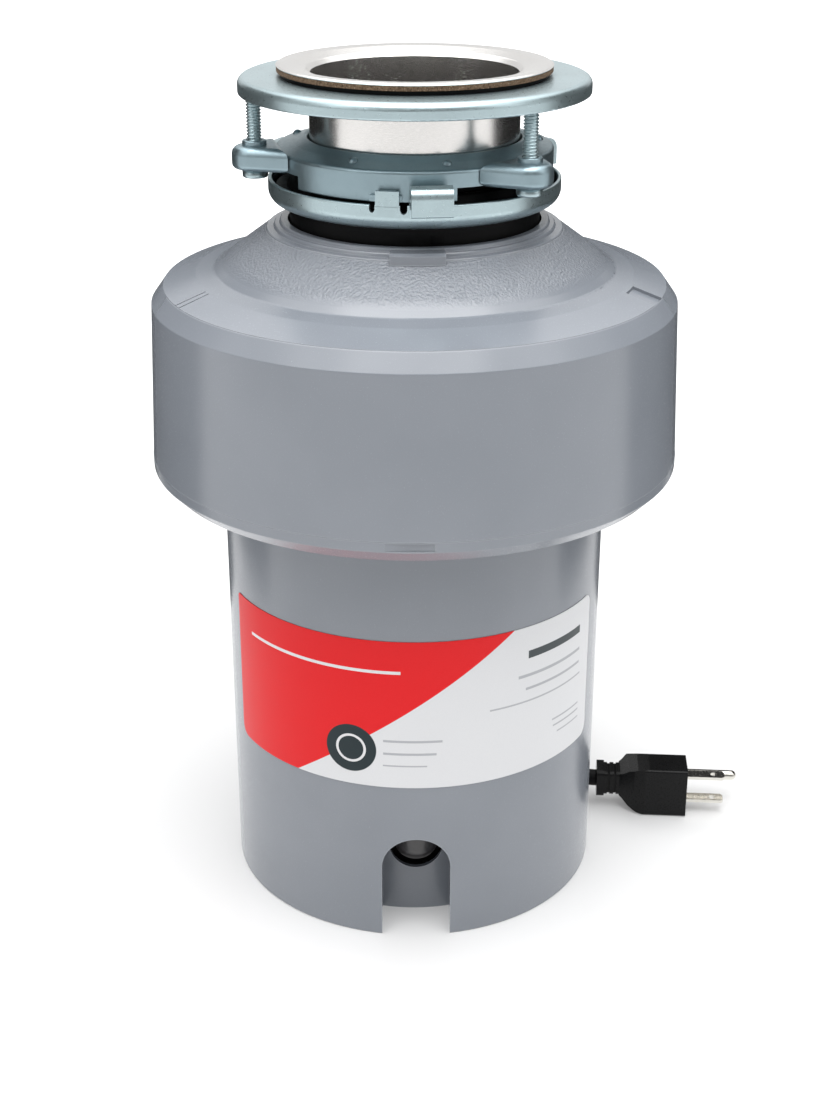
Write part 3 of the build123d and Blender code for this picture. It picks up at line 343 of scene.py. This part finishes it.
def cast_aluminium():
    s = Shader("aluminium_cast", metallic=0.9)
    grain = s.cells(900)
    cloud = s.noise(120, 4.0)
    s.color(s.mix(cloud, (0.42, 0.42, 0.43), (0.60, 0.60, 0.61)))
    s.rough(s.ramp(cloud, 0.3, 0.7, 0.42, 0.6))
    s.normal(s.bump(grain, 0.00015, 0.5))
    return s.material


LAMINATION_PITCH = 0.0006
WIRE_PITCH = 0.0011


def laminations():
    s = Shader("laminations", metallic=0.6)
    _, _, z = s.split()
    sheets = s.math("SINE", s.math("MULTIPLY", z, 2 * math.pi / LAMINATION_PITCH))
    cloud = s.noise(90, 3.0)
    s.color(s.mix(cloud, (0.10, 0.105, 0.115), (0.19, 0.195, 0.21)))
    s.rough(0.5)
    s.normal(s.bump(sheets, 0.00008, 0.7))
    return s.material


def copper_windings():
    s = Shader("copper_windings", metallic=0.8, coat_weight=0.4)
    _, radius = s.polar()
    strand = s.math("SINE", s.math("MULTIPLY", radius, 2 * math.pi / WIRE_PITCH))
    cloud = s.noise(200, 3.0)
    s.color(s.mix(cloud, (0.36, 0.12, 0.045), (0.62, 0.25, 0.09)))
    s.rough(s.ramp(cloud, 0.3, 0.7, 0.28, 0.4))
    s.normal(s.bump(strand, 0.0002, 0.8))
    return s.material


def foam():
    s = Shader("foam", specular_ior_level=0.3)
    beads = s.cells(420)
    s.color(s.mix(s.ramp(beads, 0.0, 0.5), (0.78, 0.78, 0.76), (0.62, 0.62, 0.60)))
    s.rough(0.8)
    s.normal(s.bump(beads, 0.0005, 0.6))
    return s.material


def dark_button():
    """Smoky push button, a little glossy."""
    s = Shader("dark_button", coat_weight=0.6, coat_roughness=0.18)
    cloud = s.noise(300, 3.0)
    s.color(s.mix(cloud, (0.012, 0.011, 0.012), (0.026, 0.023, 0.024)))
    s.rough(s.ramp(cloud, 0.3, 0.7, 0.28, 0.4))
    return s.material


MATERIALS = {
    "stainless": stainless(),
    "fiber": fibre(),
    "black_rubber": black_rubber(),
    "zinc_plate": zinc("zinc_plate", (0.42, 0.52, 0.545), 0.27, 0.36, 900, 0.25),
    "zinc_cast": zinc("zinc_cast", (0.27, 0.355, 0.39), 0.30, 0.42, 700, 0.9),
    "grey_casing": grey_plastic("grey_casing", 0.0),
    "grey_textured": grey_plastic("grey_textured", 1.0),
    "label_print": label_print(),
    "foam": foam(),
    "chamber_plastic": black_plastic("chamber_plastic", 0.03, 0.5),
    "aluminium_cast": cast_aluminium(),
    "steel": bright_steel("steel", (0.56, 0.56, 0.57)),
    "laminations": laminations(),
    "copper_windings": copper_windings(),
    "bronze": bright_steel("bronze", (0.55, 0.36, 0.16), 0.36),
    "black_plastic": black_plastic(),
    "dark_button": dark_button(),
    "cord_jacket": black_rubber("cord_jacket", 0.006, 0.46),
    "blade_metal": bright_steel("blade_metal", (0.66, 0.64, 0.59), 0.2),
    "green_steel": bright_steel("green_steel", (0.05, 0.28, 0.10), 0.4),
}


def dress(obj, slot):
    obj.data.materials.clear()
    obj.data.materials.append(MATERIALS[slot])


for subpart in frame["record"]["subparts"]:
    node = nodes[subpart["node"]]
    for place in node.material_slots:
        place.material = MATERIALS[subpart["material_slot"]]


# --------------------------------------------------------------- label and screws
LABEL_THICK = 0.00023
LABEL_COLUMNS = 96
LABEL_ROWS = 10
LABEL_CORNERS = {"low left": 0.005, "low right": 0.005, "high left": 0.0015, "high right": 0.005}


def corner_drop(distance, radius):
    """How far a rounded corner has pulled the edge in, this far from the side."""
    if distance >= radius:
        return 0.0
    return radius - math.sqrt(max(radius**2 - (radius - distance) ** 2, 0.0))


def make_label():
    """The sticker: a thin curved sheet with rounded corners, closed all round."""
    low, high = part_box("label")
    skin_r = -low[1]
    half = math.asin(min(high[0] / skin_r, 1.0))
    columns = []
    for step in range(LABEL_COLUMNS + 1):
        # closer together towards both ends, where the corners are
        share = 0.5 - 0.5 * math.cos(math.pi * step / LABEL_COLUMNS)
        angle = -half + 2 * half * share
        side = "left" if angle < 0 else "right"
        inwards = (half - abs(angle)) * skin_r
        bottom = low[2] + corner_drop(inwards, LABEL_CORNERS["low " + side])
        top = high[2] - corner_drop(inwards, LABEL_CORNERS["high " + side])
        columns.append((angle, bottom, top))
    mesh = bmesh.new()
    sheets = []
    for radius in (skin_r, skin_r - LABEL_THICK):
        sheet = []
        for angle, bottom, top in columns:
            heights = [bottom + (top - bottom) * row / LABEL_ROWS for row in range(LABEL_ROWS + 1)]
            x, y = radius * math.sin(angle), -radius * math.cos(angle)
            sheet.append([mesh.verts.new((x, y, height)) for height in heights])
        sheets.append(sheet)
    outer, inner = sheets
    for c in range(LABEL_COLUMNS):
        for r in range(LABEL_ROWS):
            mesh.faces.new((outer[c][r], outer[c + 1][r], outer[c + 1][r + 1], outer[c][r + 1]))
            mesh.faces.new((inner[c][r + 1], inner[c + 1][r + 1], inner[c + 1][r], inner[c][r]))
        for r in (0, LABEL_ROWS):
            mesh.faces.new((outer[c][r], inner[c][r], inner[c + 1][r], outer[c + 1][r]))
    for c in (0, LABEL_COLUMNS):
        for r in range(LABEL_ROWS):
            mesh.faces.new((outer[c][r], outer[c][r + 1], inner[c][r + 1], inner[c][r]))
    bmesh.ops.recalc_face_normals(mesh, faces=mesh.faces)
    data = bpy.data.meshes.new("label_sheet")
    mesh.to_mesh(data)
    mesh.free()
    data.polygons.foreach_set("use_smooth", [True] * len(data.polygons))
    data.set_sharp_from_angle(angle=math.radians(30))
    label = new_object("label_sheet", data)
    dress(label, "label_print")
    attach(label, "housing")
    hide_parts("label")


THREAD_PITCH = 0.00127         # 20 threads to the inch
THREAD_DEPTH = 0.00078
THREAD_STEPS = 28
ROWS_PER_PITCH = 6
SCREW_R = 0.00317
LEAD_IN = 0.0008               # the tip is chamfered this far
HEAD_TALL = 0.0035
HEAD_ROUND = 0.0008
HEAD_STEPS = 4
NECK_GAP = 0.0001              # plain step between the head and the first row of thread
SLOT_WIDE = 0.0015
SLOT_DEEP = 0.0013


def thread_depth(turns):
    """0 at the crest and 1 at the root, for a place counted in pitches."""
    return 1 - abs(2 * (turns % 1.0) - 1)


def screw_outline(low_z, high_z, head_r):
    """Rows of (height, radii all round) from the head's underside to the tip."""
    rows = []
    for step in range(HEAD_STEPS + 1):
        bend = math.pi / 2 * step / HEAD_STEPS
        height = low_z + HEAD_ROUND * (1 - math.cos(bend))
        radius = head_r - HEAD_ROUND * (1 - math.sin(bend))
        rows.append((height, [radius] * THREAD_STEPS))
    head_top = low_z + HEAD_TALL
    rows.append((head_top, [head_r] * THREAD_STEPS))
    start = head_top + NECK_GAP
    count = int((high_z - start) / THREAD_PITCH * ROWS_PER_PITCH)
    for row in range(count + 1):
        height = start + (high_z - start) * row / count
        crest = SCREW_R - LEAD_IN * (1 - min((high_z - height) / LEAD_IN, 1.0))
        pitches = (height - start) / THREAD_PITCH
        depths = [thread_depth(pitches - step / THREAD_STEPS) for step in range(THREAD_STEPS)]
        rows.append((height, [crest - THREAD_DEPTH * depth for depth in depths]))
    return rows


def make_screw(node, body):
    """A slotted screw with its real thread, over the CAD node's own place and size."""
    low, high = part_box(node)
    x, y, head_r = (low[0] + high[0]) / 2, (low[1] + high[1]) / 2, (high[0] - low[0]) / 2
    mesh = bmesh.new()
    rings = []
    for height, radii in screw_outline(low[2], high[2], head_r):
        ring = []
        for step, radius in enumerate(radii):
            angle = 2 * math.pi * step / THREAD_STEPS
            place = (x + radius * math.cos(angle), y + radius * math.sin(angle), height)
            ring.append(mesh.verts.new(place))
        rings.append(ring)
    for below, above in zip(rings, rings[1:]):
        for step in range(THREAD_STEPS):
            after = (step + 1) % THREAD_STEPS
            mesh.faces.new((below[step], below[after], above[after], above[step]))
    mesh.faces.new(list(reversed(rings[0])))
    mesh.faces.new(rings[-1])
    bmesh.ops.recalc_face_normals(mesh, faces=mesh.faces)
    data = bpy.data.meshes.new(node + "_thread")
    mesh.to_mesh(data)
    mesh.free()
    screw = new_object(node + "_thread", data)
    cut_slot(screw, (x, y, low[2]), head_r)
    for face in screw.data.polygons:
        face.use_smooth = abs(face.normal.z) < 0.9
    dress(screw, "zinc_plate")
    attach(screw, body)
    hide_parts(node)


def cut_slot(screw, place, head_r):
    """Cuts the driver slot across the underside of the head."""
    cutter_mesh = bmesh.new()
    bmesh.ops.create_cube(cutter_mesh, size=1.0)
    size = (head_r * 3, SLOT_WIDE, SLOT_DEEP * 2)
    bmesh.ops.scale(cutter_mesh, vec=size, verts=cutter_mesh.verts)
    bmesh.ops.translate(cutter_mesh, vec=place, verts=cutter_mesh.verts)
    data = bpy.data.meshes.new("slot_cutter")
    cutter_mesh.to_mesh(data)
    cutter_mesh.free()
    cutter = new_object("slot_cutter", data)
    cut = screw.modifiers.new("slot", "BOOLEAN")
    cut.operation = "DIFFERENCE"
    cut.solver = "EXACT"
    cut.object = cutter
    view = bpy.context.evaluated_depsgraph_get()
    screw.data = bpy.data.meshes.new_from_object(screw.evaluated_get(view))
    screw.modifiers.clear()
    bpy.data.objects.remove(cutter)


make_label()
for side in ("left", "right", "rear"):
    make_screw("mounting_screw_" + side, "screw_" + side)


# ------------------------------------------------------------------------- cord
CORD_D = 0.008
COIL = Vector((0.030, 0.176, 0))
TURN_R = 0.043
OUTER_TURN_R = 0.0512          # the last half turn lies outside the others
LOW_TURN_Z = 0.0043
HIGH_TURN_Z = 0.0125
TURNS = 2.5
STEPS_PER_TURN = 24
CLIMB = (0.72, 0.28)           # turn where it starts and how many turns it takes
FALL = (1.9, 0.3)
OUTWARDS = (1.86, 0.2)
EXIT_POINTS = [
    (0, 0.112, 0.024),
    (0, 0.123, 0.024),
    (-0.0014, 0.134, 0.0204),
    (-0.0042, 0.145, 0.0136),
    (-0.0078, 0.156, 0.0076),
    (-0.0110, 0.166, 0.0046),
]
PLUG_POINTS = [
    (0.0818, 0.150, 0.0043),
    (0.0828, 0.124, 0.0045),
    (0.0824, 0.098, 0.0054),
    (0.0804, 0.074, 0.0084),
    (0.0786, 0.057, 0.0112),
    (0.0781, 0.0452, 0.0123),
    (0.0781, 0.0379, 0.0126),
    (0.0805, 0.0332, 0.0126),
    (0.0848, 0.03037, 0.0126),
    (0.0900, 0.0300, 0.0126),
]


def ease(turned, stretch):
    """0 before a stretch of the coil and 1 after it, with a smooth passage."""
    share = min(max((turned - stretch[0]) / stretch[1], 0.0), 1.0)
    return share * share * (3 - 2 * share)


def coil_points():
    """Two and a half turns, clockwise from the left: floor, second layer, then outside it."""
    points = []
    for step in range(int(STEPS_PER_TURN * TURNS) + 1):
        turned = step / STEPS_PER_TURN
        angle = math.pi - turned * 2 * math.pi
        radius = TURN_R + (OUTER_TURN_R - TURN_R) * ease(turned, OUTWARDS)
        lift = ease(turned, CLIMB) - ease(turned, FALL)
        z = LOW_TURN_Z + (HIGH_TURN_Z - LOW_TURN_Z) * lift
        points.append((COIL.x + radius * math.cos(angle), COIL.y + radius * math.sin(angle), z))
    return points


def make_cord():
    curve = bpy.data.curves.new("supply_cord", "CURVE")
    curve.dimensions = "3D"
    spline = curve.splines.new("NURBS")
    points = EXIT_POINTS + coil_points() + PLUG_POINTS
    spline.points.add(len(points) - 1)
    for point, place in zip(spline.points, points):
        point.co = (*place, 1)
    spline.order_u = 3
    spline.use_endpoint_u = True
    spline.resolution_u = 8
    curve.bevel_depth = CORD_D / 2
    curve.bevel_resolution = 6
    curve.use_fill_caps = True
    cord = bpy.data.objects.new("supply_cord", curve)
    bpy.context.scene.collection.objects.link(cord)
    dress(cord, "cord_jacket")
    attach(cord, "housing")
    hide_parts("cord_exit_run", "cord_coil", "cord_plug_run")
    return cord


cord = make_cord()


# ------------------------------------------------------------ floor, light, view
FLOOR_GLOW = 0.18              # emission in view of the camera, round the object
FLOOR_BOUNCE = 0.42            # emission towards everything else
FLOOR_NEAR = 0.4               # the glow rises to 1 between these distances
FLOOR_FAR = 1.4


def make_floor():
    reach = 6.0
    mesh = bpy.data.meshes.new("floor")
    corners = [(-reach, -reach, 0), (reach, -reach, 0), (reach, reach, 0), (-reach, reach, 0)]
    mesh.from_pydata(corners, [], [(0, 1, 2, 3)])
    floor = new_object("floor", mesh)
    s = Shader("floor", specular_ior_level=0.5, emission_color=(1, 1, 1))
    # In view it glows more with distance, and for every other ray the glow is even
    _, radius = s.polar()
    glow = s.ramp(radius, FLOOR_NEAR, FLOOR_FAR, FLOOR_GLOW, 1.0)
    seen = s.node("ShaderNodeLightPath").outputs["Is Camera Ray"]
    s.feed(s.surface.inputs["Emission Strength"], s.ramp(seen, 0.0, 1.0, FLOOR_BOUNCE, glow))
    cloud = s.noise(3.0, 2.0)
    s.color(s.mix(cloud, (0.54, 0.54, 0.541), (0.56, 0.56, 0.561)))
    s.rough(0.14)
    mesh.materials.append(s.material)


# Cards beside the object: place, reach along Y, reach in height
SIDE_CARD_X = 0.34
SIDE_CARD_Y = (-0.02, 0.42)
SIDE_CARD_Z = (0.02, 0.62)
# Cards behind it, seen at grazing angles down both silhouettes
EDGE_CARD_Y = 0.24
EDGE_CARD_X = (0.096, 0.25)
EDGE_CARD_Z = (0.002, 0.36)


def make_card(first, second, heights, material):
    """An upright black flag between two places, seen only in the object's gloss."""
    bottom, top = heights
    corners = [(*first, bottom), (*second, bottom), (*second, top), (*first, top)]
    mesh = bpy.data.meshes.new("card")
    mesh.from_pydata(corners, [], [(0, 1, 2, 3)])
    mesh.materials.append(material)
    card = new_object("card", mesh)
    card.visible_camera = False
    card.visible_diffuse = False
    card.visible_shadow = False


def make_cards():
    """Flags beside the object, and behind its silhouettes, for dark lines down its sides."""
    s = Shader("card", specular_ior_level=0.0, roughness=1.0)
    s.color((0.01, 0.01, 0.01))
    for side in (-1, 1):
        x = side * SIDE_CARD_X
        near, far = SIDE_CARD_Y
        make_card((x, near), (x, far), SIDE_CARD_Z, s.material)
        inner, outer = (side * place for place in EDGE_CARD_X)
        make_card((inner, EDGE_CARD_Y), (outer, EDGE_CARD_Y), EDGE_CARD_Z, s.material)


# Name, place, width and height of the panel, watts
LIGHTS = [
    ("key_left", (-1.3, -1.1, 1.2), (0.7, 1.2), 4.2),
    ("key_right", (1.4, -0.8, 1.0), (0.7, 1.2), 3.2),
    ("top", (0, -0.33, 1.6), (1.2, 1.2), 19),
]
LIT_PLACE = Vector((0, 0, 0.2))


def area_light(name, place, size, power):
    data = bpy.data.lights.new(name, "AREA")
    data.shape = "RECTANGLE"
    data.size, data.size_y = size
    data.energy = power
    lamp = bpy.data.objects.new(name, data)
    lamp.location = place
    lamp.rotation_euler = (LIT_PLACE - Vector(place)).to_track_quat("-Z", "Y").to_euler()
    lamp.visible_camera = False
    bpy.context.scene.collection.objects.link(lamp)


SKY_FRONT = 0.25
SKY_BACK = 0.85
SKY_TOP = 2.7
SKY_DEPTH = (-0.9, 0.5)        # the y of a direction, from the front value to the back one
SKY_HEIGHT = (0.5, 0.86)       # the z of a direction, up to the top value


def make_sky():
    """A white room, brightest overhead and dimmer behind the camera."""
    world = bpy.data.worlds.new("studio")
    bpy.context.scene.world = world
    world.use_nodes = True
    tree = world.node_tree
    sky = tree.nodes["Background"]
    way = tree.nodes.new("ShaderNodeTexCoord").outputs["Generated"]
    split = tree.nodes.new("ShaderNodeSeparateXYZ")
    tree.links.new(way, split.inputs[0])
    depth = tree.nodes.new("ShaderNodeMapRange")
    height = tree.nodes.new("ShaderNodeMapRange")
    for made, socket, reach, start, end in (
        (depth, split.outputs[1], SKY_DEPTH, SKY_FRONT, SKY_BACK),
        (height, split.outputs[2], SKY_HEIGHT, 0.0, SKY_TOP - SKY_BACK),
    ):
        tree.links.new(socket, made.inputs["Value"])
        made.inputs["From Min"].default_value = reach[0]
        made.inputs["From Max"].default_value = reach[1]
        made.inputs["To Min"].default_value = start
        made.inputs["To Max"].default_value = end
    total = tree.nodes.new("ShaderNodeMath")
    total.operation = "ADD"
    tree.links.new(depth.outputs[0], total.inputs[0])
    tree.links.new(height.outputs[0], total.inputs[1])
    # Plain white where the sky itself is in view
    path = tree.nodes.new("ShaderNodeLightPath")
    seen = tree.nodes.new("ShaderNodeMix")
    tree.links.new(path.outputs["Is Camera Ray"], seen.inputs["Factor"])
    tree.links.new(total.outputs[0], seen.inputs["A"])
    seen.inputs["B"].default_value = 1.0
    tree.links.new(seen.outputs["Result"], sky.inputs["Strength"])
    sky.inputs["Color"].default_value = (1, 1, 1, 1)


def light_scene():
    bpy.context.scene.view_settings.view_transform = "Standard"
    make_sky()
    for light in LIGHTS:
        area_light(*light)


CAMERA_PLACE = (-0.0025, -0.7256, 0.4656)
CAMERA_DOWN = 23.64            # degrees below the horizontal
SENSOR = 36.0                  # mm
FOCAL_SHARE = 1.6122727        # focal length over the picture's long side


def place_camera():
    data = bpy.data.cameras.new("camera")
    data.sensor_fit = "AUTO"
    data.sensor_width = SENSOR
    data.lens = SENSOR * FOCAL_SHARE
    data.clip_start = 0.01
    data.clip_end = 30
    camera = bpy.data.objects.new("camera", data)
    camera.location = CAMERA_PLACE
    camera.rotation_euler = (math.radians(90 - CAMERA_DOWN), 0, 0)
    bpy.context.scene.collection.objects.link(camera)
    bpy.context.scene.camera = camera


make_floor()
make_cards()
light_scene()
place_camera()
